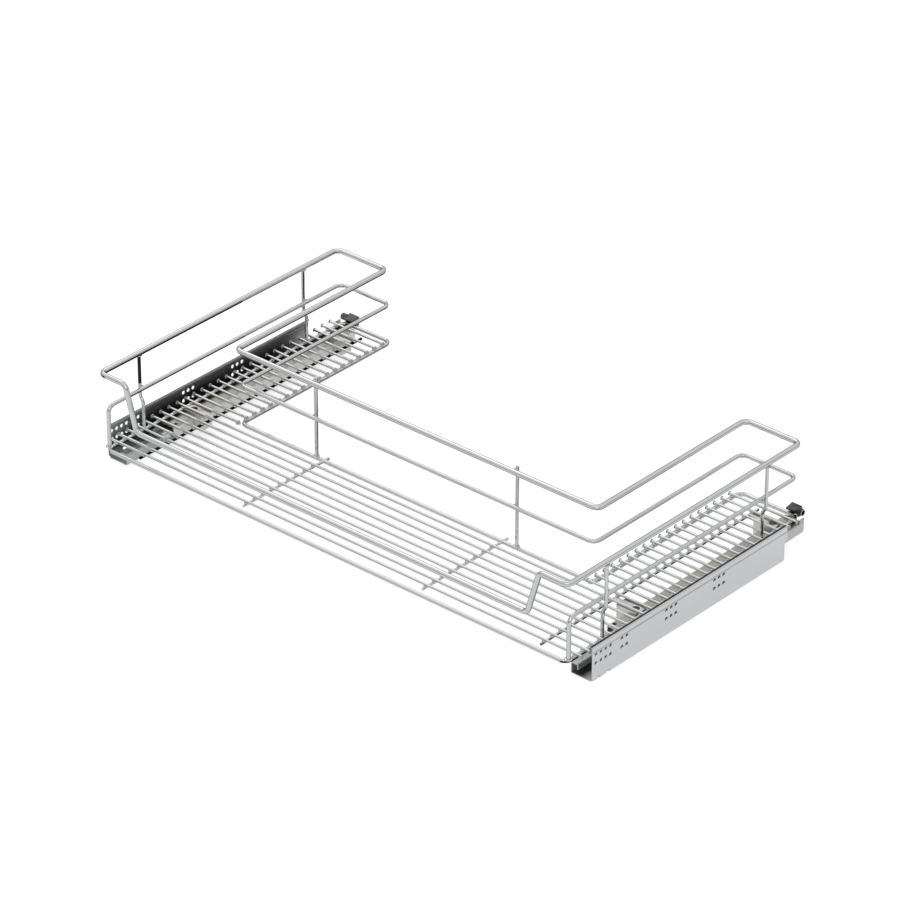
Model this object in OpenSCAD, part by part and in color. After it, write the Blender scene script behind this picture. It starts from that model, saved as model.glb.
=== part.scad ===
// Pull-out basket drawer for a sink cabinet: a welded wire basket with a notch
// for the waste pipes, carried by a pair of full extension undermount runners.
// X runs across the cabinet, Y from the front to the back, Z up. The origin is
// on the plane of the runners' undersides, under the middle of the whole part.

/* [Cabinet] */
// Inside width of the cabinet, between the faces that the runners screw to
cabinet_w = 864; // [840:1:900]
// Travel of the drawer
travel = 450; // [400:1:450]

/* [Bottom frame] */
// Distance of the bottom frame's side wires from the cabinet's sides
side_gap = 23.7; // [23.4:0.1:24]
// Depth of the bottom frame between its wires' centres
frame_d = 480.3; // [476:0.1:500]
// Width of the basket's wings at the bottom frame, between its wires' centres
wing_w = 93.15; // [84:0.05:110]
// Distance that the bottom frame's notch stands left of the middle
notch_shift = 4.75; // [0:0.05:8]
// Distance from the front wire of the bottom frame to the notch
notch_y = 171.9; // [160:0.1:220]
// Height of the bottom frame's centre above the runners' undersides
frame_z = 32; // [31.8:0.1:33]

/* [Rails] */
// Height of the middle rail's centre above the bottom frame's
middle_up = 64.9; // [58:0.1:80]
// Distance of the middle rail's front legs behind the bottom frame's front wire
leg_y = 5; // [4:0.1:30]
// Width of the middle rail's wings between its wires' centres
middle_wing = 92.9; // [84:0.1:110]
// Distance that the middle rail's rear stops short of the bottom frame's
middle_short = 6.8; // [0:0.1:12]
// Height of the top rail's centre above the bottom frame's
top_up = 118.8; // [105:0.1:150]
// Distance of the top rail's sides outside the bottom frame's
top_out = 4.5; // [3:0.1:6]
// Width of the top rail's wings between its wires' centres
top_wing = 92.5; // [84:0.1:110]
// Distance that the top rail's rear stops short of the bottom frame's
top_short = 8; // [0:0.1:12]
// Distance of the top rail's front in front of the bottom frame's front wire
top_front = 3.7; // [0:0.1:6]
// Length of the top rail's front legs, from its sides to the risers
leg_l = 46.8; // [30:0.1:70]
// Length of the risers that carry the top rail down to the low front rail
riser_l = 70.5; // [60:0.25:76]

/* [Wires] */
// Thickness of the top rail's wire
rail_wire = 8; // [7:0.1:9]
// Thickness of the middle rail's and the bottom frame's wire
frame_wire = 6; // [5.4:0.1:6.4]
// Thickness of the posts' wire
post_wire = 5; // [4:0.1:6]
// Thickness of the floor's wire
floor_wire = 4; // [3:0.1:4.4]
// Bend radius of the top rail at its wire's centre
rail_bend = 10; // [9:0.1:14]
// Bend radius of the middle rail and the bottom frame at their wires' centre
frame_bend = 11; // [9:0.1:14]
// Depth that a wire sinks into the wire it is welded to
weld = 0.1; // [0.05:0.01:0.2]

/* [Floor] */
// Distance from the front wire of the bottom frame to the first floor wire
floor_start = 18.2; // [14:0.1:22]
// Distance from one floor wire to the next
floor_pitch = 16.45; // [14:0.05:20]
// Length of the floor wires' outer tips past the bottom frame's centre
tip_out = 11.6; // [6:0.1:14]
// Length of the floor wires' inner tips past the bottom frame's centre
tip_in = 12.3; // [6:0.1:14]
// Distance of the middle section's cross wires from the middle of the notch
cross_x = 159.9; // [80:0.1:260]
// Distance of the wings' cross wires from the cabinet's sides
cross_side = 75; // [72:0.1:78]
// Distance of the cross wires' front ends behind the bottom frame's front wire
cross_front = 11; // [6:0.1:16]
// Length of the middle cross wires' tips past the notch
cross_tip = 9.1; // [6:0.1:12]
// Distance of the wings' cross wires' rear ends in front of the rear wire
cross_short = 20.9; // [8:0.1:30]

/* [Posts] */
// Number of floor wires in front of the front outer posts
post_front = 4; // [3:1:7]
// Number of floor wires in front of the rear outer posts
post_rear = 24; // [19:1:25]
// Distance of the inner posts from the middle
post_inner = 178.9; // [120:0.1:260]
// Height that the inner posts stand above the top rail
post_over = 2.4; // [0:0.1:5]
// Height of the middle of the outer posts' joggle above the bottom frame's centre
joggle_up = 47.5; // [38:0.1:48]

/* [Runners] */
// Thickness of the runners' sheet steel
sheet = 1.5; // [1.2:0.05:1.6]
// Bend radius of the sheet at its middle
sheet_bend = 1.5; // [1.2:0.05:1.8]
// Front end of the cabinet profiles, behind the bottom frame's front wire
cabinet_front = 25; // [10:0.1:40]
// Length of the cabinet profiles
cabinet_l = 396; // [392:0.5:400]
// Height of the cabinet profiles' side plates
plate_h = 51.5; // [50:0.1:56]
// Height of the band that is pressed inwards along the plates' top
band_h = 9.5; // [8:0.1:9.8]
// Depth that the band is pressed inwards
band_in = 0.8; // [0.4:0.1:1]
// Width of the plates' turned in top edge
edge_w = 5; // [4:0.1:6]
// Length of the plates' raised rear ends past the channels
plate_rear = 6; // [0.5:0.1:10]
// Width of the cabinet profiles' channels
channel_w = 36; // [35.5:0.1:36.5]
// Height of the rail along the channel's inner edge
rail_h = 17; // [16.8:0.1:17.1]
// Width of the rail's flat top
rail_w = 12; // [11:0.1:12.4]
// Front end of the middle profiles, behind the bottom frame's front wire
middle_front = 90; // [86:0.5:94]
// Length of the stops behind the middle profiles, at the channels' rear ends
stop_l = 6; // [4:0.1:10]
// Height of the middle profiles' hooks under the channels' rails
hook_z = 6; // [5:0.1:7]
// Height of the room between the runner's hooks, one above the other
hook_gap = 1; // [0.6:0.1:1.4]
// Length that the middle profiles' hooks stop short of the rails' outer walls
hook_short = 0.5; // [0.3:0.1:1]
// Height of the middle profiles' inner edges
middle_inner_z = 14; // [13:0.1:15]
// Height of the drawer profiles' outer edges
drawer_outer_z = 13; // [12:0.1:14]
// Height of the cabinet profiles' raised rear ends
plate_step = 31; // [20:0.5:38]
// Width of the middle profiles
middle_w = 23.5; // [23.2:0.1:23.8]
// Front end of the drawer profiles, behind the bottom frame's front wire
drawer_front = 108; // [96:0.5:112]
// Distance that the drawer profiles stop short of the bottom frame's rear wire
drawer_short = 1.3; // [0:0.1:4]
// Width of the drawer profiles
drawer_w = 31.5; // [31:0.1:32]
// Diameter of the hole at the front of the drawer profiles' top
front_hole_d = 6; // [4:0.1:7]
// Distance of that hole from the runner's middle, towards the basket's
front_hole_x = 10.5; // [4:0.1:11]
// Distance of that hole behind the profile's front end
front_hole_y = 9.6; // [6:0.1:16]
// Length of the lugs that stand up at the drawer profiles' rear ends
lug_l = 10; // [8:0.1:16]
// Length of the lugs behind the drawer profiles
lug_rear = 2; // [1:0.1:6]
// Height of the lugs above the drawer profiles
lug_h = 6; // [4:0.1:12]
// Radius of the cabinet profiles' lower front corners
corner_r = 5; // [2:0.1:6]
// Height of the notches in the cabinet profiles' lower edge
notch_h = 4; // [2:0.1:5]
// Distance of the first notch behind the profile's front end
notch_a = 10; // [8:0.1:12]
// Length of the first notch
notch_a_l = 5; // [3:0.1:8]
// Distance of the second notch behind the profile's front end
notch_b = 27; // [22:0.1:32]
// Length of the second notch
notch_b_l = 9; // [5:0.1:12]
// Diameter of the cages' rollers
roller_d = 4; // [3.9:0.05:4.05]
// Length of the rollers
roller_l = 7; // [5:0.1:7.4]
// Number of rollers in a cage
rollers = 6; // [3:1:9]
// Length of the cages
cage_l = 150; // [110:0.5:155]
// Distance that the cages rest behind a quarter of the travel
cage_rest = 5; // [2:0.5:10]
// Running gap round the cages
gap = 0.3; // [0.2:0.05:0.35]
// Running gap between a roller and each face that it rolls on
roller_gap = 0.05; // [0.02:0.01:0.08]

/* [Holes in the side plates] */
// Diameter of the screw holes
hole_d = 5.5; // [4:0.1:6.5]
// Height of the lower row above the undersides
hole_z = 26.3; // [20:0.1:27]
// Height of the upper row above the lower one
hole_rows = 12.8; // [8:0.1:14]
// Distance from one hole to the next in a group
hole_pitch = 9.6; // [8:0.1:10]
// Distance from the plate's front end to the first group of four
group_a = 6.8; // [6:0.1:12]
// Distance from the plate's front end to the group of two
group_b = 58.4; // [50:0.1:70]
// Distance from the plate's front end to the first group of three
group_c = 148.2; // [120:0.1:180]
// Distance from the plate's front end to the second group of three
group_d = 247.2; // [220:0.1:280]

/* [Brackets and clips] */
// Distance of the brackets' outer ends from the cabinet's sides
bracket_out = 27.5; // [27.4:0.1:28.5]
// Width of the brackets across the runner
bracket_w = 35.5; // [33:0.1:38]
// Front face of the front brackets, behind the bottom frame's front wire
bracket_front = 146; // [140:0.1:152]
// Distance of the rear brackets' front faces in front of the bottom frame's rear wire
bracket_rear = 48.3; // [44:0.1:56]
// Length of a bracket along the runner
bracket_l = 21; // [19:0.1:24]
// Length of the tab that joins a bracket to the wing's cross wire
tab_l = 10; // [8:0.1:12]
// Depth of the bracket's skirt beside the drawer profile
skirt = 22; // [14:0.1:24]
// Corner radius of the brackets
bracket_r = 3; // [2:0.1:4]
// Diameter of the brackets' screws
screw_d = 4; // [3:0.1:5]
// Distance of the screws from the runner's middle, towards the basket's
screw_in = 7.5; // [6:0.1:8]
// Clearance round the screws in their holes
screw_room = 0.1; // [0.05:0.01:0.3]
// Height of the screws' heads
head_h = 2.4; // [2:0.1:3]
// Depth of the sockets in the screws' heads
socket_h = 1.6; // [1.2:0.1:2]
// Width of those sockets across their corners
socket_d = 2.8; // [2:0.1:3.2]
// Clearance round the screws' heads in the brackets' tops
access = 1.5; // [1:0.1:2]
// Distance of the rear saddles' outer edges from the cabinet's sides
saddle_out = 28; // [28:0.1:31]
// Width of the rear saddles
saddle_w = 12; // [10:0.1:14]
// Length of the saddles' feet on the drawer profiles
foot_l = 6; // [4:0.1:8]
// Overhang of the clips past the saddles
clip_over = 2; // [1:0.1:2.4]
// Length of the clips behind the saddles
clip_l = 7; // [5:0.1:9]
// Height of the clips' tops above the bottom frame's centre
clip_up = 12.5; // [11:0.1:15]
// Depth of the clips below the bottom frame's centre
clip_low = 3; // [2:0.1:3.4]
// Size of the clips' cut corners
clip_cut = 2; // [1:0.1:3]
// Length of the clips' hoods in front of the bottom frame's rear wire
hood_l = 4; // [2:0.1:6]
// Thickness of the hoods
hood_t = 2; // [1.5:0.1:2.6]
// Height that the hoods climb towards the back
hood_rise = 3; // [1:0.1:3.4]
// Diameter of the round bosses beside the clips
boss_d = 10; // [8:0.1:10.4]
// Distance of the bosses' ends from the cabinet's sides
boss_out = 18; // [17:0.1:20]
// Distance of the bosses behind the bottom frame's rear wire
boss_back = 2.7; // [2.6:0.1:4]
// Height of the bosses above the bottom frame's centre
boss_up = 7.5; // [7.4:0.1:8.4]

/* [Hidden] */
$fn = 48;

// Radii of the wires
rail_r = rail_wire / 2;
frame_r = frame_wire / 2;
post_r = post_wire / 2;
floor_r = floor_wire / 2;

// Heights of the wires' centres
frame_top = frame_z + frame_r;
floor_z = frame_top + floor_r - weld;
cross_z = floor_z - floor_wire + weld;
middle_z = frame_z + middle_up;
top_z = frame_z + top_up;

// Places of the bottom frame's and the rails' wires
side_x = cabinet_w / 2 - side_gap;
notch_left = side_x - wing_w + notch_shift;
notch_right = side_x - wing_w - notch_shift;
middle_back = frame_d - middle_short;
middle_notch = side_x - middle_wing;
top_x = side_x + top_out;
top_back = frame_d - top_short;
top_notch = top_x - top_wing;
leg_x = top_x - leg_l;

// The risers lean 7 mm outwards for each 24 mm that they climb
lean = 7 / 25;
climb = 24 / 25;
low_x = leg_x - lean * riser_l;
low_z = top_z - climb * riser_l;

// The rails' notches touch the inner posts, which stand on the bottom frame
middle_notch_y = notch_y - frame_r - post_r + weld;
top_notch_y = notch_y - rail_r - post_r + weld;

// The outer posts joggle from the bottom frame's wire out past the middle rail
post_out = frame_r + post_r - weld;
joggle_cos = 4 / 5;
joggle_sin = 3 / 5;
joggle_r = post_out / (2 * (1 - joggle_cos));

// The floor's wires: those in front of the notch run right across
wire_count = floor((frame_d - frame_r - floor_wire - floor_start) / floor_pitch) + 1;
front_count = floor((notch_y - frame_r - floor_wire - floor_start) / floor_pitch) + 1;
last_wire = floor_start + (wire_count - 1) * floor_pitch;
tip_x = side_x + tip_out;

// Heights in the runner, from the channel's rail up to the drawer profile
roller_room = roller_d + 2 * roller_gap;
middle_under = rail_h + roller_room;
middle_top = middle_under + sheet;
drawer_under = middle_top + roller_room;
drawer_top = drawer_under + sheet;
lower_roller_z = rail_h + roller_room / 2;
upper_roller_z = middle_top + roller_room / 2;

// Distances of the runner's walls from the cabinet's side
rail_out = channel_w - rail_w;
roller_x = rail_out + rail_w / 2;
middle_out = roller_x - middle_w / 2;
drawer_out = roller_x - drawer_w / 2;

// The hooks along the profiles' lower edges, one above the other
rail_lip_z = hook_z + sheet + hook_gap;
middle_hook_x = rail_out + sheet + hook_short;
drawer_hook_z = middle_inner_z - 2 * hook_gap - sheet;
drawer_hook_x = middle_out + middle_w - sheet + gap;

// Ends of the runner's profiles
cabinet_back = cabinet_front + cabinet_l;
middle_end = cabinet_back - stop_l;
drawer_back = frame_d - drawer_short;

// The cages rest a quarter of the travel behind the fronts that they run to
cage_in = travel / 4 + cage_rest;
lower_cage_front = cabinet_front + cage_in;
upper_cage_front = middle_front + cage_in;

// Heights and walls of the brackets
bracket_in = bracket_out + bracket_w;
rear_bracket_y = frame_d - bracket_rear;
bracket_top = floor_z - floor_r + weld / 4;
tab_in = cross_side - floor_r + weld;
screw_x = roller_x + screw_in;
screw_hole_r = screw_d / 2 + screw_room;
foot_top = drawer_top + sheet;
head_r = screw_d;
access_r = head_r + access;

// The saddles stand astride the bottom frame's rear wire
saddle_in = saddle_out + saddle_w;
saddle_room = frame_r + weld;
saddle_reach = saddle_room + sheet;
saddle_top = frame_z + saddle_reach;

// Place of the whole part on its origin
whole_front = -top_front - rail_r;
clip_back = frame_d + saddle_reach + clip_l;
whole_back = max(drawer_back + lug_rear, clip_back);
whole_middle = (whole_back + whole_front) / 2;

// A unit vector along v
function unit(v) = v / norm(v);

// Angle that a path turns through at point q, between p and n
function turn(p, q, n) = acos(unit(q - p) * unit(n - q));

// Length that a bend takes from each straight beside point q
function taken(p, q, n, bend) = bend * tan(turn(p, q, n) / 2);

// A straight stretch of wire from a to b
module rod(a, b, r) {
    d = b - a;
    translate(a) rotate([0, acos(d.z / norm(d)), atan2(d.y, d.x)]) cylinder(h = norm(d), r = r);
}

// A bend of the wire at point q, on its way from p to n
module elbow(p, q, n, r, bend) {
    ahead = unit(q - p);
    inward = unit(unit(n - q) - (ahead * unit(n - q)) * ahead);
    centre = q - taken(p, q, n, bend) * ahead + bend * inward;
    up = cross(-inward, ahead);
    multmatrix([[-inward.x, ahead.x, up.x, centre.x],
            [-inward.y, ahead.y, up.y, centre.y],
            [-inward.z, ahead.z, up.z, centre.z]])
        rotate_extrude(angle = turn(p, q, n)) translate([bend, 0]) circle(r);
}

// A wire bent along the points of a path, open or closed
module wire(path, r, bend, closed = false) {
    n = len(path);
    for (i = [0 : closed ? n - 1 : n - 2]) {
        p = path[i];
        q = path[(i + 1) % n];
        before = path[(i + n - 1) % n];
        after = path[(i + 2) % n];
        start = (closed || i > 0) ? taken(before, p, q, bend) : 0;
        end = (closed || i < n - 2) ? taken(p, q, after, bend) : 0;
        rod(p + start * unit(q - p), q - end * unit(q - p), r);
        if (closed || i < n - 2) elbow(p, q, after, r, bend);
    }
}

// A sheet of height h, bent square along the points of a path
module strip(path, t, bend, h) {
    n = len(path);
    for (i = [0 : n - 2]) {
        p = path[i];
        q = path[i + 1];
        ahead = unit(q - p);
        side = [-ahead.y, ahead.x] * t / 2;
        a = i > 0 ? p + bend * ahead : p;
        b = i < n - 2 ? q - bend * ahead : q;
        linear_extrude(h) polygon([a + side, b + side, b - side, a - side]);
        if (i < n - 2) {
            out = unit(path[i + 2] - q);
            linear_extrude(h) translate(q - bend * ahead + bend * out) intersection() {
                difference() {
                    circle(bend + t / 2);
                    circle(bend - t / 2);
                }
                polygon([[0, 0], -2 * bend * out, 2 * bend * (ahead - out), 2 * bend * ahead]);
            }
        }
    }
}

// Puts a piece drawn from the bottom frame's front wire on the part's origin
module placed() translate([0, -whole_middle, 0]) children();

// Puts a piece drawn inwards from a cabinet side at that side
module at_left() translate([-cabinet_w / 2, -whole_middle, 0]) children();
module at_right() translate([cabinet_w / 2, -whole_middle, 0]) mirror([1, 0, 0]) children();

// Stands a piece drawn up from its outline of Y and Z across the runner, from x0 to x1
module across(x0, x1) translate([x0, 0, 0]) rotate([90, 0, 90]) linear_extrude(x1 - x0) children();

// Stands a piece drawn up from its outline of X and Z along the runner, back to y1
module along(y1) translate([0, y1, 0]) rotate([90, 0, 0]) children();

// A block between two opposite corners
module block(a, b) translate(a) cube(b - a);

// A straight hole or pin along X, Z
module bore_x(x0, x1, y, z, r) translate([x0, y, z]) rotate([0, 90, 0]) cylinder(h = x1 - x0, r = r);
module bore_z(x, y, z0, z1, r) translate([x, y, z0]) cylinder(h = z1 - z0, r = r);

// The top rail, one closed loop with the risers and the low front rail
module top_rail() color("silver") placed()
    wire([[-low_x, -top_front, low_z], [-leg_x, -top_front, top_z], [-top_x, -top_front, top_z],
        [-top_x, top_back, top_z], [-top_notch, top_back, top_z], [-top_notch, top_notch_y, top_z],
        [top_notch, top_notch_y, top_z], [top_notch, top_back, top_z], [top_x, top_back, top_z],
        [top_x, -top_front, top_z], [leg_x, -top_front, top_z], [low_x, -top_front, low_z]],
        rail_r, rail_bend, true);

// The middle rail, whose front ends turn down on to the bottom frame
module middle_rail() color("silver") placed()
    wire([[-side_x, leg_y, frame_top - weld], [-side_x, leg_y, middle_z],
        [-side_x, middle_back, middle_z], [-middle_notch, middle_back, middle_z],
        [-middle_notch, middle_notch_y, middle_z], [middle_notch, middle_notch_y, middle_z],
        [middle_notch, middle_back, middle_z], [side_x, middle_back, middle_z],
        [side_x, leg_y, middle_z], [side_x, leg_y, frame_top - weld]],
        frame_r, frame_bend);

// The bottom frame's wire at a chosen thickness
module frame_wires(r)
    wire([[-side_x, 0, frame_z], [side_x, 0, frame_z], [side_x, frame_d, frame_z],
        [notch_right, frame_d, frame_z], [notch_right, notch_y, frame_z],
        [-notch_left, notch_y, frame_z], [-notch_left, frame_d, frame_z],
        [-side_x, frame_d, frame_z]], r, frame_bend, true);

module bottom_frame() color("silver") placed() frame_wires(frame_r);

// Floor wires number a to b, from x0 to x1
module floor_wires(a, b, x0, x1)
    for (i = [a : b]) bore_x(x0, x1, floor_start + i * floor_pitch, floor_z, floor_r);

module floor_wires_front() color("silver") placed()
    floor_wires(0, front_count - 1, -tip_x, tip_x);

module floor_wires_left() color("silver") placed()
    floor_wires(front_count, wire_count - 1, -tip_x, tip_in - notch_left);

module floor_wires_right() color("silver") placed()
    floor_wires(front_count, wire_count - 1, notch_right - tip_in, tip_x);

// The middle cross wires meet the notch's wire, with their tips behind it
module cross_wires_middle() color("silver") placed() difference() {
    for (x = [-cross_x, cross_x])
        rod([x - notch_shift, cross_front, cross_z], [x - notch_shift, notch_y + cross_tip, cross_z],
            floor_r);
    bore_x(-notch_left, notch_right, notch_y, frame_z, frame_r);
}

module cross_wires_wings() color("silver") placed()
    for (x = [cross_side - cabinet_w / 2, cabinet_w / 2 - cross_side])
        rod([x, cross_front, cross_z], [x, frame_d - cross_short, cross_z], floor_r);

// Half of an outer post's joggle, curving towards +X as it climbs from the origin
module joggle_half() translate([joggle_r, 0, 0]) rotate([90, 0, 180])
    rotate_extrude(angle = acos(joggle_cos)) translate([joggle_r, 0]) circle(post_r);

// An outer post behind floor wire n: straight up, out past the middle rail, up
module outer_post(n) {
    y = floor_start + (n - 1) * floor_pitch + floor_r + post_r - weld;
    start = frame_z + joggle_up - joggle_sin * joggle_r;
    finish = frame_z + joggle_up + joggle_sin * joggle_r;
    outer = side_gap - post_out;
    rod([side_gap, y, frame_top - weld], [side_gap, y, start], post_r);
    translate([side_gap, y, start]) mirror([1, 0, 0]) joggle_half();
    translate([outer, y, finish]) rotate([0, 180, 0]) mirror([1, 0, 0]) joggle_half();
    rod([outer, y, finish], [outer, y, top_z - rail_r + weld], post_r);
}

module outer_posts() {
    outer_post(post_front);
    outer_post(post_rear);
}

module outer_posts_left() color("silver") at_left() outer_posts();
module outer_posts_right() color("silver") at_right() outer_posts();

module inner_posts() color("silver") placed()
    for (x = [-post_inner, post_inner])
        rod([x, notch_y, frame_top - weld], [x, notch_y, top_z + rail_r + post_over], post_r);

// The cabinet profile's side plate, channel and rail, of length h
module cabinet_sheet(h) {
    bottom = plate_h - band_h;
    strip([[sheet / 2, bottom], [sheet / 2, sheet / 2], [channel_w - sheet / 2, sheet / 2],
        [channel_w - sheet / 2, rail_h - sheet / 2], [rail_out + sheet / 2, rail_h - sheet / 2],
        [rail_out + sheet / 2, rail_lip_z]], sheet, sheet_bend, h);
    linear_extrude(h) polygon([[0, bottom], [band_in, bottom + 2 * band_in], [band_in + sheet, bottom + 2 * band_in],
        [sheet, bottom]]);
    strip([[band_in + sheet / 2, bottom + 2 * band_in], [band_in + sheet / 2, plate_h - sheet / 2],
        [edge_w, plate_h - sheet / 2]], sheet, sheet_bend, h);
}

// Screw holes in a group of n columns and two rows, y behind the plate's front
module hole_group(y, n)
    for (i = [0 : n - 1], z = [hole_z, hole_z + hole_rows])
        bore_x(-1, sheet + band_in + 1, cabinet_front + y + i * hole_pitch, z, hole_d / 2);

module cabinet_profile() difference() {
    union() {
        along(cabinet_back) cabinet_sheet(cabinet_l);
        intersection() {
            along(cabinet_back + plate_rear) cabinet_sheet(plate_rear);
            block([-1, cabinet_back, plate_step], [edge_w + 1, cabinet_back + plate_rear, plate_h + 1]);
        }
    }
    difference() {
        block([-1, cabinet_front - 1, -1], [sheet + sheet_bend, cabinet_front + corner_r, corner_r]);
        bore_x(-1, sheet + sheet_bend + 1, cabinet_front + corner_r, corner_r, corner_r);
    }
    for (n = [[notch_a, notch_a_l], [notch_b, notch_b_l]])
        block([-1, cabinet_front + n[0], -1],
            [sheet + sheet_bend, cabinet_front + n[0] + n[1], notch_h]);
    hole_group(group_a, 4);
    hole_group(group_b, 2);
    hole_group(group_c, 3);
    hole_group(group_d, 3);
}

module cabinet_profile_left() color("gainsboro") at_left() cabinet_profile();
module cabinet_profile_right() color("gainsboro") at_right() cabinet_profile();

// The stop at the channel's rear end that the middle profile closes against
module rear_stop()
    block([drawer_out + sheet + 2 * gap, middle_end + gap, sheet],
        [rail_out - 2 * gap, cabinet_back, middle_under]);

module rear_stop_left() color("dimgray") at_left() rear_stop();
module rear_stop_right() color("dimgray") at_right() rear_stop();

// The middle profile: an upturned channel over the rail, hooked under its lip
module middle_profile() along(middle_end)
    strip([[middle_hook_x, hook_z + sheet / 2], [middle_out + sheet / 2, hook_z + sheet / 2],
        [middle_out + sheet / 2, middle_top - sheet / 2],
        [middle_out + middle_w - sheet / 2, middle_top - sheet / 2],
        [middle_out + middle_w - sheet / 2, middle_inner_z]], sheet, sheet_bend,
        middle_end - middle_front);

module middle_profile_left() color("gainsboro") at_left() middle_profile();
module middle_profile_right() color("gainsboro") at_right() middle_profile();

// The drawer profile: the upper channel, hooked under the middle profile's edge
module drawer_profile() {
    inner = drawer_out + drawer_w - sheet / 2;
    difference() {
        along(drawer_back)
            strip([[drawer_hook_x, drawer_hook_z + sheet / 2], [inner, drawer_hook_z + sheet / 2],
                [inner, drawer_top - sheet / 2], [drawer_out + sheet / 2, drawer_top - sheet / 2],
                [drawer_out + sheet / 2, drawer_outer_z]], sheet, sheet_bend,
                drawer_back - drawer_front);
        bore_z(roller_x + front_hole_x, drawer_front + front_hole_y, drawer_under - 1,
            drawer_top + 1, front_hole_d / 2);
        for (y = [bracket_front, rear_bracket_y])
            bore_z(screw_x, y + bracket_l / 2, drawer_under - 1, drawer_top + 1, screw_hole_r);
    }
    lug_back = drawer_back + lug_rear;
    block([drawer_out, lug_back - lug_l, drawer_outer_z + sheet],
        [drawer_out + sheet, lug_back, drawer_top + lug_h]);
}

module drawer_profile_left() color("gainsboro") at_left() drawer_profile();
module drawer_profile_right() color("gainsboro") at_right() drawer_profile();

// Lengthways place of roller i in a cage that starts at y
function roller_y(y, i) = y + cage_l * (i + 0.5) / rollers;

// Windows through a cage that starts at y, one round each roller
module windows(y, z0, z1) for (i = [0 : rollers - 1])
    block([roller_x - roller_l / 2 - gap, roller_y(y, i) - roller_d / 2 - gap, z0 - 1],
        [roller_x + roller_l / 2 + gap, roller_y(y, i) + roller_d / 2 + gap, z1 + 1]);

// The rollers of a cage that starts at y, at height z
module cage_rollers(y, z) for (i = [0 : rollers - 1])
    bore_x(roller_x - roller_l / 2, roller_x + roller_l / 2, roller_y(y, i), z, roller_d / 2);

// The lower cage: between the rail and the middle profile
module lower_cage() {
    x0 = middle_out + sheet + gap;
    x1 = middle_out + middle_w - sheet - gap;
    y1 = lower_cage_front + cage_l;
    difference() {
        union() {
            block([x0, lower_cage_front, rail_h + gap], [x1, y1, middle_under - gap]);
            block([x0, lower_cage_front, rail_lip_z - gap], [rail_out - gap, y1, middle_under - gap]);
            block([channel_w + gap, lower_cage_front, rail_lip_z], [x1, y1, middle_under - gap]);
        }
        windows(lower_cage_front, rail_h, middle_under);
        for (x = [x0, x1]) translate([x, 0, middle_under - gap]) rotate([0, 45, 0])
            block([-0.5, lower_cage_front - 1, -0.5], [0.5, y1 + 1, 0.5]);
    }
}

module lower_cage_left() color("ivory") at_left() lower_cage();
module lower_cage_right() color("ivory") at_right() lower_cage();
module lower_rollers_left() color("silver") at_left() cage_rollers(lower_cage_front, lower_roller_z);
module lower_rollers_right() color("silver") at_right() cage_rollers(lower_cage_front, lower_roller_z);

// The upper cage: between the middle profile and the drawer profile
module upper_cage() {
    x0 = drawer_out + sheet + gap;
    x1 = drawer_out + drawer_w - sheet - gap;
    y1 = upper_cage_front + cage_l;
    difference() {
        union() {
            block([x0, upper_cage_front, middle_top + gap], [x1, y1, drawer_under - gap]);
            block([x0, upper_cage_front, drawer_outer_z + hook_gap], [middle_out - gap, y1, drawer_under - gap]);
            block([middle_out + middle_w + gap, upper_cage_front, drawer_hook_z + sheet + gap],
                [x1, y1, drawer_under - gap]);
        }
        windows(upper_cage_front, middle_top, drawer_under);
        for (x = [x0, x1]) translate([x, 0, drawer_under - gap]) rotate([0, 45, 0])
            block([-0.5, upper_cage_front - 1, -0.5], [0.5, y1 + 1, 0.5]);
    }
}

module upper_cage_left() color("ivory") at_left() upper_cage();
module upper_cage_right() color("ivory") at_right() upper_cage();
module upper_rollers_left() color("silver") at_left() cage_rollers(upper_cage_front, upper_roller_z);
module upper_rollers_right() color("silver") at_right() cage_rollers(upper_cage_front, upper_roller_z);

// Plan of a bracket with rounded corners, inset by d
module bracket_plan(d) {
    r = bracket_r - d;
    for (x = [bracket_out + bracket_r, bracket_in - bracket_r])
        for (y = [bracket_r, bracket_l - bracket_r]) translate([x, y]) circle(r);
    translate([bracket_out + d, bracket_r])
        square([bracket_w - 2 * d, bracket_l - 2 * bracket_r]);
    translate([bracket_out + bracket_r, d])
        square([bracket_w - 2 * bracket_r, bracket_l - 2 * d]);
}

// A bracket: a cap under the floor wires, screwed down to the drawer profile
module bracket(y) translate([0, y, 0]) difference() {
    beside = drawer_out + drawer_w + gap;
    union() {
        difference() {
            translate([0, 0, bracket_top - skirt]) linear_extrude(skirt) bracket_plan(0);
            translate([0, 0, bracket_top - skirt - 1]) linear_extrude(skirt + 1 - sheet)
                bracket_plan(sheet);
        }
        block([bracket_out + sheet / 2, sheet / 2, drawer_top],
            [beside, bracket_l - sheet / 2, foot_top]);
        block([bracket_in - sheet / 2, (bracket_l - tab_l) / 2, bracket_top - sheet],
            [tab_in, (bracket_l + tab_l) / 2, bracket_top]);
    }
    block([bracket_out - 1, -1, bracket_top - skirt - 1], [beside, bracket_l + 1, drawer_top]);
    bore_z(screw_x, bracket_l / 2, drawer_top - 1, foot_top + 1, screw_hole_r);
    bore_z(screw_x, bracket_l / 2, foot_top + 1, bracket_top + 1, access_r);
}

module front_bracket_left() color("silver") at_left() bracket(bracket_front);
module front_bracket_right() color("silver") at_right() bracket(bracket_front);
module rear_bracket_left() color("silver") at_left() bracket(rear_bracket_y);
module rear_bracket_right() color("silver") at_right() bracket(rear_bracket_y);

// The screws through the brackets' feet into the drawer profile
module bracket_screws() for (y = [bracket_front, rear_bracket_y])
    translate([screw_x, y + bracket_l / 2, 0]) difference() {
        union() {
            bore_z(0, 0, foot_top, foot_top + head_h, head_r);
            bore_z(0, 0, drawer_under, foot_top + head_h / 2, screw_d / 2);
        }
        translate([0, 0, foot_top + head_h - socket_h])
            cylinder(h = head_h, r = socket_d / 2, $fn = 6);
    }

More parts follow.
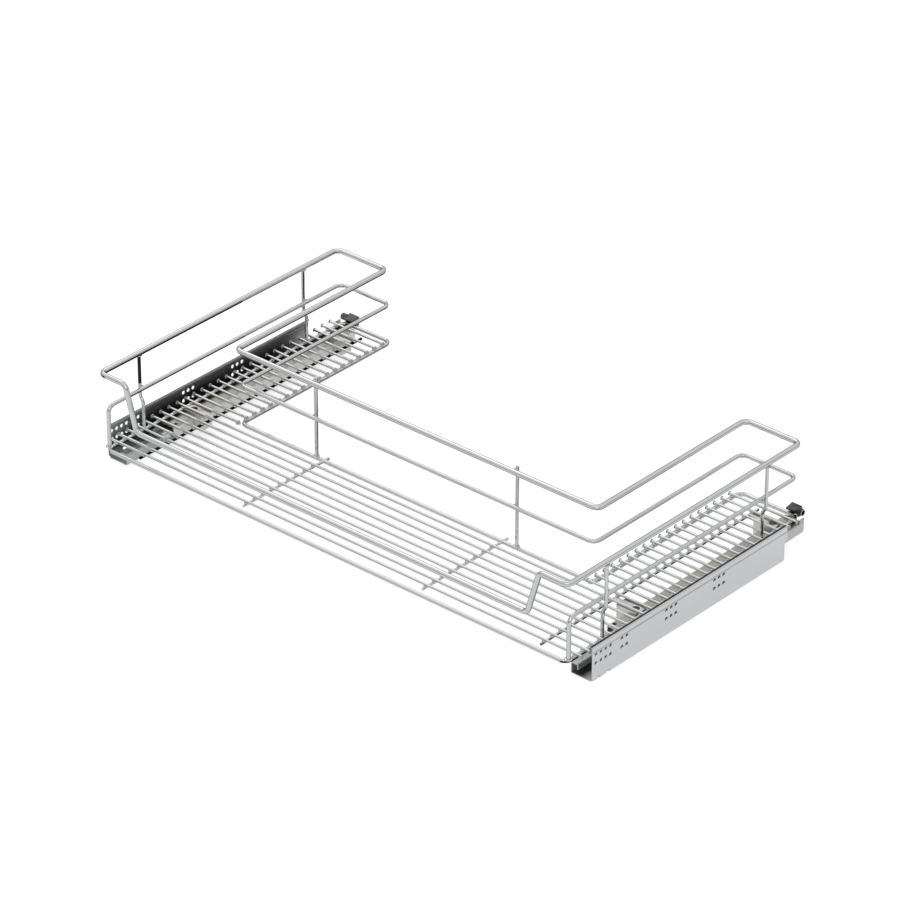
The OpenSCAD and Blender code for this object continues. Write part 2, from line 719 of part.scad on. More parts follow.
module bracket_screws_left() color("silver") at_left() bracket_screws();
module bracket_screws_right() color("silver") at_right() bracket_screws();

// Room for the bottom frame's wire round its rear corner, open downwards
module corner_room() {
    path = [[side_gap, frame_d - 2 * frame_bend], [side_gap, frame_d], [saddle_in + frame_bend, frame_d]];
    wire([for (p = path) [p.x, p.y, frame_z]], saddle_room, frame_bend);
    translate([0, 0, drawer_top - 1])
        strip(path, 2 * saddle_room, frame_bend, frame_z - drawer_top + 1);
}

// The rear saddle: a bent strap over the frame's rear wire, its foot on the runner
module rear_saddle() difference() {
    union() {
        block([saddle_out, frame_d - saddle_reach, drawer_top],
            [saddle_in, frame_d + saddle_reach, saddle_top]);
        block([saddle_out, frame_d - saddle_reach - foot_l, drawer_top],
            [saddle_in, frame_d - saddle_room, drawer_top + sheet]);
    }
    corner_room();
}

module rear_saddle_left() color("silver") at_left() rear_saddle();
module rear_saddle_right() color("silver") at_right() rear_saddle();

// The rear clip: a block behind the saddle, its hood over the wire, its boss outside
module rear_clip() {
    front = frame_d + saddle_reach;
    under = frame_z - clip_low;
    top = frame_z + clip_up;
    hood_top = top - hood_rise;
    across(saddle_out - clip_over, saddle_in + clip_over)
        polygon([[front, under], [front, hood_top - hood_t], [frame_d - hood_l, hood_top - hood_t],
            [frame_d - hood_l, hood_top], [clip_back - clip_cut, top], [clip_back, top - clip_cut],
            [clip_back, under + clip_cut], [clip_back - clip_cut, under]]);
    bore_x(boss_out, saddle_out - clip_over / 2, frame_d + boss_back, frame_z + boss_up, boss_d / 2);
}

module rear_clip_left() color("black") at_left() rear_clip();
module rear_clip_right() color("black") at_right() rear_clip();

top_rail();
middle_rail();
bottom_frame();
floor_wires_front();
floor_wires_left();
floor_wires_right();
cross_wires_middle();
cross_wires_wings();
outer_posts_left();
outer_posts_right();
inner_posts();
front_bracket_left();
front_bracket_right();
rear_bracket_left();
rear_bracket_right();
bracket_screws_left();
bracket_screws_right();
rear_saddle_left();
rear_saddle_right();
rear_clip_left();
rear_clip_right();
drawer_profile_left();
drawer_profile_right();
middle_profile_left();
middle_profile_right();
cabinet_profile_left();
cabinet_profile_right();
lower_cage_left();
lower_cage_right();
lower_rollers_left();
lower_rollers_right();
upper_cage_left();
upper_cage_right();
upper_rollers_left();
upper_rollers_right();
rear_stop_left();
rear_stop_right();
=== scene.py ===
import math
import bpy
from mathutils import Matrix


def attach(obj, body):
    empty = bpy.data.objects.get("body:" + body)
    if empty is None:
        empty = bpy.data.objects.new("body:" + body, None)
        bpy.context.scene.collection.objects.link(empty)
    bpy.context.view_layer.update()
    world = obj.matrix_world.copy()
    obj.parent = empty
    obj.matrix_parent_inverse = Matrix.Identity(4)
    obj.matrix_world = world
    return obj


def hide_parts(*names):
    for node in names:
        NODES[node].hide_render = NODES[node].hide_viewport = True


bl_info = {
    "name": "Pull-out basket drawer",
    "version": (1, 0, 0),
    "blender": (4, 5, 0),
    "location": "View3D > Sidebar > Basket drawer",
    "description": "Finishes and details a chromed basket drawer on undermount runners",
    "category": "Object",
}

import bpy
from mathutils import Matrix, Vector

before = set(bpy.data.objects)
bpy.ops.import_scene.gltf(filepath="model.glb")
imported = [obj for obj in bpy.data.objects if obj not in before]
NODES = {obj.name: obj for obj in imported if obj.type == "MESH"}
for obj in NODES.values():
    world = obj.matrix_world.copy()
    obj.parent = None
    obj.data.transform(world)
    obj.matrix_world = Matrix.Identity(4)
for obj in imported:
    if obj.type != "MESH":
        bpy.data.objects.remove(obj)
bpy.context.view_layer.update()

# Places and radii in millimetres, as the part's source gives them, Y from the front wire
BACK = 242.1
SIDE_X = 408.3
NOTCH_LEFT = -319.9
NOTCH_RIGHT = 310.4
WING_CROSS_X = 357.0
MIDDLE_CROSS_X = (-164.65, 155.15)
FRAME_TOP = 35.0
FLOOR_Z = 36.9
MIDDLE_Z = 96.9
TOP_Z = 150.8
FLOOR_R = 2.0
POST_R = 2.5
FRAME_R = 3.0
RAIL_R = 4.0
POST_TOP_X = 413.7
INNER_POST_X = 178.9
NOTCH_Y = 171.9
TOP_NOTCH_Y = 165.5
MIDDLE_NOTCH_Y = 166.5
LEG_Y = 5.0

# The floor's wires: their number, how many reach right across, the first one's place, their pitch
WIRES = 28
FRONT_WIRES = 9
FIRST_WIRE = 18.2
PITCH = 16.45

# The numbers of the floor wires that the outer posts stand behind
POST_WIRES = (3, 23)

# Where the floor's wires end at the sides, and how far past the notch wire, here and in the CAD
TIP_X = 419.9
TIP_IN_LEFT = 1.0
TIP_IN_RIGHT = 5.0
CAD_TIP_IN = 12.3

# Where the painted shade and painted reflections begin and end, in millimetres, and the width over
# which they fade
SIDES_X = 400.0
PLATE_INNER_X = 430.7
PLATE_BAND_Z = 49.8
PLATE_TOP_Z = 51.1
PLATE_REACH = 230.0
DRAWER_TOP_Z = 27.2
DRAWER_OUTER_X = 417.0
DRAWER_REACH = 200.0
CROSS_SHADE_LEFT_Z = 35.2
CROSS_SHADE_RIGHT_Z = 34.3
FRAME_SHADE_Z = 32.8
RAIL_SHADE_Y = 30.0
MIDDLE_SHADE_Y = -200.0
PAINTED_LIGHT_FADE = 0.2

# The camera: its turn and height in degrees, its lens in millimetres, its distance in metres
AZIMUTH = 41.18
ELEVATION = 30.13
ROLL = 0.109
LENS = 204.17
DISTANCE = 7.036
AIM = (-105.0, 362.3, -10.2)


def mm(*values):
    """Millimetres of the part's own frame as a vector in metres."""
    return Vector([v / 1000 for v in values])


def from_front(x, y, z):
    """A point whose Y is measured back from the bottom frame's front wire."""
    return mm(x, y - BACK, z)


def wire_y(number):
    """How far behind the front wire a floor wire lies, the first being number 0."""
    return FIRST_WIRE + number * PITCH


# Finishes


def new_material(name):
    """A material with nothing but a Principled shader, and its node tree."""
    material = bpy.data.materials.new(name)
    material.use_nodes = True
    tree = material.node_tree
    tree.nodes.clear()
    output = tree.nodes.new("ShaderNodeOutputMaterial")
    shader = tree.nodes.new("ShaderNodeBsdfPrincipled")
    tree.links.new(shader.outputs["BSDF"], output.inputs["Surface"])
    return material, tree, shader


def object_noise(tree, scale, detail, stretch=(1, 1, 1)):
    """A noise texture on Object coordinates, stretched along the axes."""
    coordinates = tree.nodes.new("ShaderNodeTexCoord")
    mapping = tree.nodes.new("ShaderNodeMapping")
    mapping.inputs["Scale"].default_value = stretch
    noise = tree.nodes.new("ShaderNodeTexNoise")
    noise.inputs["Scale"].default_value = scale
    noise.inputs["Detail"].default_value = detail
    tree.links.new(coordinates.outputs["Object"], mapping.inputs["Vector"])
    tree.links.new(mapping.outputs["Vector"], noise.inputs["Vector"])
    return noise


def ramp(tree, source, low_value, high_value, start=0.35, end=0.65):
    """Maps a value between start and end to one between two others."""
    node = tree.nodes.new("ShaderNodeMapRange")
    node.inputs["From Min"].default_value = start
    node.inputs["From Max"].default_value = end
    node.inputs["To Min"].default_value = low_value
    node.inputs["To Max"].default_value = high_value
    tree.links.new(source, node.inputs["Value"])
    return node.outputs["Result"]


def tint(tree, source, dark, light):
    """Mixes two colours by a noise's factor."""
    node = tree.nodes.new("ShaderNodeMix")
    node.data_type = "RGBA"
    node.inputs["A"].default_value = (*dark, 1)
    node.inputs["B"].default_value = (*light, 1)
    tree.links.new(source, node.inputs["Factor"])
    return node.outputs["Result"]


def bump(tree, shader, source, strength, distance):
    """Gives a shader a relief of so many metres."""
    node = tree.nodes.new("ShaderNodeBump")
    node.inputs["Strength"].default_value = strength
    node.inputs["Distance"].default_value = distance
    tree.links.new(source, node.inputs["Height"])
    tree.links.new(node.outputs["Normal"], shader.inputs["Normal"])


def metal(name, dark, light, rough_low, rough_high, scale, stretch=(1, 1, 1), edge=1.0):
    """A plated or rolled metal with cloudy colour, gloss and a faint relief.

    The edge is the share of light that it throws back where it is seen at a slant.
    """
    material, tree, shader = new_material(name)
    shader.inputs["Metallic"].default_value = 1.0
    shader.inputs["Specular Tint"].default_value = (edge, edge, edge, 1)
    noise = object_noise(tree, scale, 5.0, stretch)
    tree.links.new(tint(tree, noise.outputs["Fac"], dark, light), shader.inputs["Base Color"])
    tree.links.new(ramp(tree, noise.outputs["Fac"], rough_low, rough_high), shader.inputs["Roughness"])
    fine = object_noise(tree, scale * 6, 3.0, stretch)
    bump(tree, shader, fine.outputs["Fac"], 0.25, 0.00002)
    return material


def place_values(tree):
    """A point's distances from the middle, across and along the drawer, and its X, Y and Z."""
    coordinates = tree.nodes.new("ShaderNodeTexCoord")
    parts = tree.nodes.new("ShaderNodeSeparateXYZ")
    tree.links.new(coordinates.outputs["Object"], parts.inputs["Vector"])
    found = {"x": parts.outputs["X"], "y": parts.outputs["Y"], "z": parts.outputs["Z"]}
    for place, axis in (("across", "X"), ("along", "Y")):
        node = tree.nodes.new("ShaderNodeMath")
        node.operation = "ABSOLUTE"
        tree.links.new(parts.outputs[axis], node.inputs[0])
        found[place] = node.outputs["Value"]
    return found


def paint_light_and_shade(material, colour, above=(), below=(), reach=0.0):
    """Mixes painted shade, reflection or light, as a colour, over a finish where it lies above and
    below some places.

    Each limit is a place's name and its millimetres. With a reach, the painted colour thins out along
    the runner towards it.
    """
    tree = material.node_tree
    shader = [n for n in tree.nodes if n.type == "BSDF_PRINCIPLED"][0]
    found = place_values(tree)
    shares = []
    if reach:
        shares.append(ramp(tree, found["along"], 1.0, 0.3, reach * 0.6 / 1000, reach / 1000))
    for limits, low, high in ((above, 0.0, 1.0), (below, 1.0, 0.0)):
        for place, limit in limits:
            shares.append(ramp(tree, found[place], low, high, limit / 1000,
                               (limit + PAINTED_LIGHT_FADE) / 1000))
    share = shares[0]
    for part in shares[1:]:
        both = tree.nodes.new("ShaderNodeMath")
        both.operation = "MULTIPLY"
        tree.links.new(share, both.inputs[0])
        tree.links.new(part, both.inputs[1])
        share = both.outputs["Value"]
    unpainted = shader.inputs["Base Color"].links[0].from_socket
    painted_mix = tree.nodes.new("ShaderNodeMix")
    painted_mix.data_type = "RGBA"
    painted_mix.inputs["B"].default_value = (*colour, 1)
    tree.links.new(share, painted_mix.inputs["Factor"])
    tree.links.new(unpainted, painted_mix.inputs["A"])
    tree.links.new(painted_mix.outputs["Result"], shader.inputs["Base Color"])


def plastic(name, dark, light, rough_low, rough_high, scale, shine=0.5):
    """A moulded plastic with a fine grain."""
    material, tree, shader = new_material(name)
    shader.inputs["Specular IOR Level"].default_value = shine
    noise = object_noise(tree, scale, 6.0)
    tree.links.new(tint(tree, noise.outputs["Fac"], dark, light), shader.inputs["Base Color"])
    tree.links.new(ramp(tree, noise.outputs["Fac"], rough_low, rough_high), shader.inputs["Roughness"])
    bump(tree, shader, noise.outputs["Fac"], 0.35, 0.00006)
    return material


class DrawerFinishes(bpy.types.PropertyGroup):
    """The colours and the gloss that a user would change"""

    chrome: bpy.props.FloatVectorProperty(
        name="Chrome", description="Colour of the plated wires",
        default=(0.66, 0.666, 0.664), subtype="COLOR", min=0, max=1)
    chrome_gloss: bpy.props.FloatProperty(
        name="Chrome roughness", description="Roughness of the plated wires",
        default=0.09, min=0, max=1, subtype="FACTOR")
    sheet_steel: bpy.props.FloatVectorProperty(
        name="Sheet steel", description="Colour of the runners' galvanised steel",
        default=(0.695, 0.70, 0.71), subtype="COLOR", min=0, max=1)
    clip_black: bpy.props.FloatVectorProperty(
        name="Clip black", description="Colour of the moulded clips and stops",
        default=(0.016, 0.016, 0.017), subtype="COLOR", min=0, max=1)


class DrawerSizes(bpy.types.PropertyGroup):
    """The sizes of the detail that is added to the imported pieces"""

    bead: bpy.props.FloatProperty(
        name="Weld bead", description="How far a weld's squeezed metal stands out past the wires",
        default=0.0001, unit="LENGTH", min=0.0, max=0.001)
    bead_height: bpy.props.FloatProperty(
        name="Bead height", description="Half the height of a weld's squeezed metal",
        default=0.0006, unit="LENGTH", min=0.0004, max=0.0015)
    tip: bpy.props.FloatProperty(
        name="Wire tip", description="How far a cropped wire's end bulges",
        default=0.0003, unit="LENGTH", min=0.0001, max=0.001)
    pressed_edge: bpy.props.FloatProperty(
        name="Pressed edge", description="Rounding of the brackets' and saddles' edges",
        default=0.0005, unit="LENGTH", min=0.0001, max=0.0007)
    moulded_edge: bpy.props.FloatProperty(
        name="Moulded edge", description="Rounding of the clips' edges",
        default=0.0006, unit="LENGTH", min=0.0001, max=0.0008)
    boss_rim: bpy.props.FloatProperty(
        name="Boss rim", description="Width of the rim round the hollow in a clip's boss",
        default=0.0013, unit="LENGTH", min=0.0005, max=0.003)
    boss_hollow: bpy.props.FloatProperty(
        name="Boss hollow", description="Depth of the hollow in a clip's boss",
        default=0.004, unit="LENGTH", min=0.001, max=0.005)


def chrome_finishes(look):
    """The bright wires and rails, with dark reflections painted where they mirror what lies under
    them.
    """
    light = tuple(look.chrome)
    dark = tuple(0.9 * c for c in light)
    gloss = look.chrome_gloss

    def wire(name):
        return metal(name, dark, light, gloss, gloss * 1.6, 60, edge=0.45)

    # The black of the painted reflections on the lower edges of the left rails and posts and of the
    # frame's side wires
    black = (0.02, 0.02, 0.021)
    at_the_sides = (("across", SIDES_X),)
    left_and_front = (("x", 0.0), ("y", RAIL_SHADE_Y))
    rail = metal("bright chrome rail", dark, light, gloss * 0.8, gloss * 1.3, 40, edge=0.45)
    # Painted reflection: the top rail's lower edge on the left, painted black
    paint_light_and_shade(rail, black, above=at_the_sides,
           below=left_and_front + (("z", TOP_Z + 0.9), ("across", POST_TOP_X + 1)))
    half = wire("bright chrome middle rail")
    # Painted reflection: the middle rail's lower edge on the left, painted near black
    paint_light_and_shade(half, (0.03, 0.03, 0.031), above=at_the_sides + (("y", MIDDLE_SHADE_Y),),
           below=left_and_front + (("z", MIDDLE_Z + 0.5), ("across", SIDE_X + 0.5)))
    posts = wire("bright chrome posts")
    # Painted reflection: part of the left outer posts above the middle rail, painted black
    paint_light_and_shade(posts, black, above=(("z", MIDDLE_Z + 7),),
           below=(("across", POST_TOP_X + 0.3), ("x", 0.0), ("y", 0.0)))
    under = wire("bright chrome under wire")
    # Painted reflection: the lower halves of the wings' cross wires, near black on the left and dark
    # grey on the right
    paint_light_and_shade(under, (0.008, 0.008, 0.009), below=(("z", CROSS_SHADE_LEFT_Z), ("x", 0.0)))
    paint_light_and_shade(under, (0.12, 0.12, 0.121), above=(("x", 0.0),), below=(("z", CROSS_SHADE_RIGHT_Z),))
    sides = wire("bright chrome frame")
    # Painted reflection: the lower halves of the frame's side wires, painted black
    paint_light_and_shade(sides, black, above=at_the_sides, below=(("z", FRAME_SHADE_Z),))
    return {"rail": rail, "half": half, "posts": posts, "under": under, "sides": sides,
            "wire": wire("bright chrome wire")}


def steel_finishes(look):
    """The runners' rolled steel, with painted shade on the walls that face dark places and on top
    faces, and small parts.
    """
    steel = tuple(look.sheet_steel)
    rolled = (30, 1.2, 30)
    plate = metal("galvanised cabinet profile", tuple(0.93 * c for c in steel), steel,
                  0.3, 0.4, 8, rolled)
    # Painted shade: the cabinet plates' inner faces below their top band, darker, thinning out towards
    # the runners' ends
    paint_light_and_shade(plate, (0.35, 0.355, 0.355), reach=PLATE_REACH,
           below=(("across", PLATE_INNER_X), ("z", PLATE_BAND_Z)))
    # Painted shade: the plates' top edges, near black on the right and dark grey on the left
    paint_light_and_shade(plate, (0.035, 0.035, 0.035), above=(("z", PLATE_TOP_Z), ("x", 0.0)))
    paint_light_and_shade(plate, (0.2, 0.2, 0.2), above=(("z", PLATE_TOP_Z),), below=(("x", 0.0),))
    middle = metal("galvanised middle profile", tuple(0.85 * c for c in steel), steel,
                   0.25, 0.38, 10, rolled)
    drawer = metal("galvanised drawer profile", (0.72, 0.72, 0.70), (0.80, 0.80, 0.785),
                   0.4, 0.55, 10, rolled)
    # Painted shade: the drawer profiles' top faces, painted a darker, warmer grey than their walls
    paint_light_and_shade(drawer, (0.50, 0.49, 0.455), above=(("z", DRAWER_TOP_Z),))
    # Painted shade: the drawer profiles' outer walls facing the plates, dark on the right and grey on
    # the left, thinning out towards the ends
    paint_light_and_shade(drawer, (0.11, 0.11, 0.108), reach=DRAWER_REACH, above=(("x", DRAWER_OUTER_X),),
           below=(("z", DRAWER_TOP_Z),))
    paint_light_and_shade(drawer, (0.3, 0.3, 0.3), reach=DRAWER_REACH,
           below=(("x", -DRAWER_OUTER_X), ("z", DRAWER_TOP_Z)))
    return {
        "cabinet": plate,
        "middle": middle,
        "drawer": drawer,
        "bracket": metal("zinc plated bracket", (0.62, 0.60, 0.59), (0.71, 0.69, 0.68),
                         0.3, 0.45, 70),
        "screw": metal("zinc plated screw", (0.5, 0.5, 0.48), (0.62, 0.62, 0.6), 0.2, 0.34, 160),
        "roller": metal("ground steel roller", (0.6, 0.6, 0.6), (0.7, 0.7, 0.7), 0.12, 0.2, 200),
    }


def moulded_finishes(look):
    """The clips' and stops' black plastic, painted greyer on the left as painted light, and the cages'
    pale one.
    """
    clip = plastic("moulded black plastic", tuple(0.7 * c for c in look.clip_black),
                   tuple(1.5 * c for c in look.clip_black), 0.18, 0.28, 400, 0.4)
    # Painted light: the left clips and stops are painted greyer than the right ones
    paint_light_and_shade(clip, (0.09, 0.09, 0.088), below=(("x", 0.0),))
    cage = plastic("natural acetal", (0.74, 0.73, 0.69), (0.82, 0.81, 0.77), 0.35, 0.5, 300)
    return {"clip": clip, "cage": cage}


class BASKET_OT_finishes(bpy.types.Operator):
    """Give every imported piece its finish"""

    bl_idname = "basket.finishes"
    bl_label = "Finishes"

    def execute(self, context):
        look = context.scene.basket_finishes
        finishes = chrome_finishes(look)
        finishes.update(steel_finishes(look))
        finishes.update(moulded_finishes(look))
        for name, piece in NODES.items():
            piece.data.materials.clear()
            piece.data.materials.append(finishes[finish_of(name)])
        return {"FINISHED"}


def finish_of(node):
    """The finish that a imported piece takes, by its name."""
    own = {"top_rail": "rail", "middle_rail": "half", "outer_posts_left": "posts",
           "cross_wires_wings": "under", "bottom_frame": "sides"}
    if node in own:
        return own[node]
    if "screws" in node:
        return "screw"
    if "bracket" in node:
        return "bracket"
    if "clip" in node or "stop" in node:
        return "clip"
    if "rollers" in node:
        return "roller"
    if "cage" in node:
        return "cage"
    for profile in ("cabinet", "middle", "drawer"):
        if node.startswith(profile + "_profile"):
            return profile
    return "wire"


# Pressed and moulded pieces


def start_alone(piece):
    """Selects one piece and nothing else, as the one that the next operators act on."""
    bpy.ops.object.select_all(action="DESELECT")
    piece.select_set(True)
    bpy.context.view_layer.objects.active = piece


def copy_of(node, name):
    """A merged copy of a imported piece, with whole faces instead of loose triangles."""
    piece = NODES[node].copy()
    piece.data = NODES[node].data.copy()
    piece.name = name
    piece.parent = None
    bpy.context.scene.collection.objects.link(piece)
    start_alone(piece)
    bpy.ops.mesh.customdata_custom_splitnormals_clear()
    bpy.ops.object.mode_set(mode="EDIT")
    bpy.ops.mesh.select_all(action="SELECT")
    bpy.ops.mesh.remove_doubles(threshold=0.00001)
    bpy.ops.mesh.dissolve_limited(angle_limit=math.radians(1))
    bpy.ops.mesh.select_all(action="DESELECT")
    bpy.ops.object.mode_set(mode="OBJECT")
    return piece


def round_edges(piece, width):
    """Rounds the sharp edges of a piece and shades it smoothly between them."""
    start_alone(piece)
    modifier = piece.modifiers.new("edges", "BEVEL")
    modifier.width = width
    modifier.segments = 2
    modifier.limit_method = "ANGLE"
    modifier.angle_limit = math.radians(40)
    modifier.use_clamp_overlap = True
    bpy.ops.object.modifier_apply(modifier=modifier.name)
    bpy.ops.object.shade_smooth_by_angle(angle=math.radians(35))


def stand_for(piece, node):
    """Makes a piece ride with the basket in the place of a packed one."""
    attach(piece, "drawer")
    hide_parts(node)


class BASKET_OT_brackets(bpy.types.Operator):
    """Round the edges of the pressed brackets and saddles"""

    bl_idname = "basket.brackets"
    bl_label = "Brackets and saddles"

    def execute(self, context):
        edge = context.scene.basket_sizes.pressed_edge
        for side in ("left", "right"):
            for place in ("front_bracket", "rear_bracket", "rear_saddle"):
                node = place + "_" + side
                piece = copy_of(node, "pressed_" + node)
                round_edges(piece, edge)
                stand_for(piece, node)
        return {"FINISHED"}


def looks_out(face, sign, outside):
    """Whether a face looks straight out to its side and lies at least so far out."""
    return face.normal.x * sign > 0.99 and abs(face.center.x) > outside


class BASKET_OT_clips(bpy.types.Operator):
    """Mould the rear clips, with a hollow in each round boss and a bright metal rim round it as a
    painted highlight
    """

    bl_idname = "basket.clips"
    bl_label = "Rear clips"

    def execute(self, context):
        sizes = context.scene.basket_sizes
        for side, sign in (("left", -1), ("right", 1)):
            node = "rear_clip_" + side
            piece = copy_of(node, "moulded_" + node)
            # The rim round each hollow takes the screws' plated metal, a painted highlight on the
            # black plastic
            bright = NODES["bracket_screws_" + side].data.materials[0]
            piece.data.materials.append(bright)
            outside = max(abs(face.center.x) for face in piece.data.polygons) - 0.0005
            for face in piece.data.polygons:
                face.select = looks_out(face, sign, outside)
            bpy.ops.object.mode_set(mode="EDIT")
            bpy.ops.mesh.inset(thickness=sizes.boss_rim)
            bpy.ops.mesh.extrude_region_move(
                TRANSFORM_OT_translate={"value": (-sign * sizes.boss_hollow, 0, 0)})
            bpy.ops.object.mode_set(mode="OBJECT")
            for face in piece.data.polygons:
                if looks_out(face, sign, outside):
                    face.material_index = 1
            round_edges(piece, sizes.moulded_edge)
            stand_for(piece, node)
        return {"FINISHED"}


# Welds and wire ends


def bead(name):
    """A squat bead of unit radius and about unit half height round the origin, its axis on Z."""
    bpy.ops.object.select_all(action="DESELECT")
    bpy.ops.mesh.primitive_cylinder_add(vertices=10, radius=1, depth=0.7, location=(0, 0, 0))
    piece = bpy.context.active_object
    piece.name = name
    for sign in (-1, 1):
        for face in piece.data.polygons:
            face.select = face.normal.z * sign > 0.99
        bpy.ops.object.mode_set(mode="EDIT")
        bpy.ops.mesh.inset(thickness=0.25, depth=0.4)
        bpy.ops.mesh.inset(thickness=0.4, depth=0.25)
        bpy.ops.mesh.select_all(action="DESELECT")
        bpy.ops.object.mode_set(mode="OBJECT")
    start_alone(piece)
    bpy.ops.object.shade_smooth()
    return piece


def beads(name, places, material):
    """One piece of many beads; each place is a point and the half sizes along X, Y and Z."""
    first = bead(name)
    pieces = []
    for point, half in places:
        piece = first.copy()
        piece.data = first.data.copy()
        bpy.context.scene.collection.objects.link(piece)
        turn = Matrix.Identity(4)
        if half.x < half.y and half.x < half.z:
            turn = Matrix.Rotation(math.radians(90), 4, "Y")
        elif half.y < half.z:
            turn = Matrix.Rotation(math.radians(90), 4, "X")
        piece.data.transform(Matrix.Translation(point) @ Matrix.Diagonal((*half, 1)) @ turn)
        pieces.append(piece)
    bpy.data.objects.remove(first, do_unlink=True)
    bpy.ops.object.select_all(action="DESELECT")
    for piece in pieces:
        piece.select_set(True)
    bpy.context.view_layer.objects.active = pieces[0]
    bpy.ops.object.join()
    joined = bpy.context.active_object
    joined.name = name
    joined.data.materials.clear()
    joined.data.materials.append(material)
    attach(joined, "drawer")


class BASKET_OT_welds(bpy.types.Operator):
    """Set a bead of squeezed metal where two wires are welded"""

    bl_idname = "basket.welds"
    bl_label = "Welds"

    def execute(self, context):
        sizes = context.scene.basket_sizes
        out = sizes.bead * 1000
        high = sizes.bead_height * 1000
        chrome = NODES["floor_wires_front"].data.materials[0]
        crossing = mm(FLOOR_R + 1.5 * out, FLOOR_R + out, high)
        floor_z = FLOOR_Z - FLOOR_R
        for side, sign, inner in (("left", -1, NOTCH_LEFT), ("right", 1, NOTCH_RIGHT)):
            places = [(from_front(sign * SIDE_X, wire_y(i), floor_z), crossing)
                      for i in range(WIRES)]
            places += [(from_front(inner, wire_y(i), floor_z), crossing)
                       for i in range(FRONT_WIRES, WIRES)]
            places += [(from_front(sign * WING_CROSS_X, wire_y(i), floor_z), crossing)
                       for i in range(WIRES - 1)]
            foot = mm(POST_R + out, POST_R + 2 * out, high)
            beside = mm(high, POST_R, POST_R)
            for number in POST_WIRES:
                y = wire_y(number) + FLOOR_R + POST_R
                places.append((from_front(sign * SIDE_X, y, FRAME_TOP), foot))
                places.append((from_front(sign * POST_TOP_X, y, TOP_Z - RAIL_R), foot))
                places.append((from_front(sign * (SIDE_X + FRAME_R), y, MIDDLE_Z), beside))
            leg = mm(FRAME_R + out, FRAME_R + 2 * out, high)
            places.append((from_front(sign * SIDE_X, LEG_Y, FRAME_TOP), leg))
            beads("welds_" + side, places, chrome)
        places = [(from_front(x, wire_y(i), floor_z), crossing)
                  for x in MIDDLE_CROSS_X for i in range(FRONT_WIRES)]
        for x in (-INNER_POST_X, INNER_POST_X):
            foot = mm(POST_R + 2 * out, POST_R + out, high)
            behind = mm(POST_R, high, POST_R)
            places.append((from_front(x, NOTCH_Y, FRAME_TOP), foot))
            places.append((from_front(x, TOP_NOTCH_Y + RAIL_R, TOP_Z), behind))
            places.append((from_front(x, MIDDLE_NOTCH_Y + FRAME_R, MIDDLE_Z), behind))
        beads("welds_middle", places, chrome)
        return {"FINISHED"}


def cropped(node, old, new):
    """Stands for a node of wires, with the ends at one X moved to another, in millimetres."""
    piece = copy_of(node, "cropped_" + node)
    for vertex in piece.data.vertices:
        vertex.select = abs(vertex.co.x - old / 1000) < 0.0005
    bpy.ops.object.mode_set(mode="EDIT")
    bpy.ops.transform.translate(value=((new - old) / 1000, 0, 0))
    bpy.ops.mesh.select_all(action="DESELECT")
    bpy.ops.object.mode_set(mode="OBJECT")
    bpy.ops.object.shade_smooth_by_angle(angle=math.radians(35))
    stand_for(piece, node)


class BASKET_OT_floor(bpy.types.Operator):
    """Crop the wings' wires to the lengths that show beside the notch"""

    bl_idname = "basket.floor"
    bl_label = "Floor wires"

    def execute(self, context):
        cropped("floor_wires_left", NOTCH_LEFT + CAD_TIP_IN, NOTCH_LEFT + TIP_IN_LEFT)
        cropped("floor_wires_right", NOTCH_RIGHT - CAD_TIP_IN, NOTCH_RIGHT - TIP_IN_RIGHT)
        return {"FINISHED"}


class BASKET_OT_tips(bpy.types.Operator):
    """Bulge the cropped ends of the floor's wires"""

    bl_idname = "basket.tips"
    bl_label = "Wire tips"

    def execute(self, context):
        bulge = context.scene.basket_sizes.tip * 1000
        cut = plastic("lacquered wire end", (0.55, 0.55, 0.55), (0.65, 0.65, 0.65), 0.5, 0.6, 300, 0.3)
        end = mm(bulge, FLOOR_R * 0.9, FLOOR_R * 0.9)
        for side, outer, inner in (("left", -TIP_X, NOTCH_LEFT + TIP_IN_LEFT),
                                   ("right", TIP_X, NOTCH_RIGHT - TIP_IN_RIGHT)):
            places = [(from_front(outer, wire_y(i), FLOOR_Z), end) for i in range(WIRES)]
            places += [(from_front(inner, wire_y(i), FLOOR_Z), end)
                       for i in range(FRONT_WIRES, WIRES)]
            beads("tips_" + side, places, cut)
        return {"FINISHED"}


# The stage


def seen_directly(tree, path, share=1.0):
    """One for the camera's rays, a share for those that metal and glass send on, else zero."""
    value = path.outputs["Is Camera Ray"]
    for name in ("Is Glossy Ray", "Is Transmission Ray"):
        part = tree.nodes.new("ShaderNodeMath")
        part.operation = "MULTIPLY"
        part.inputs[1].default_value = share
        tree.links.new(path.outputs[name], part.inputs[0])
        either = tree.nodes.new("ShaderNodeMath")
        either.operation = "MAXIMUM"
        tree.links.new(value, either.inputs[0])
        tree.links.new(part.outputs["Value"], either.inputs[1])
        value = either.outputs["Value"]
    return value


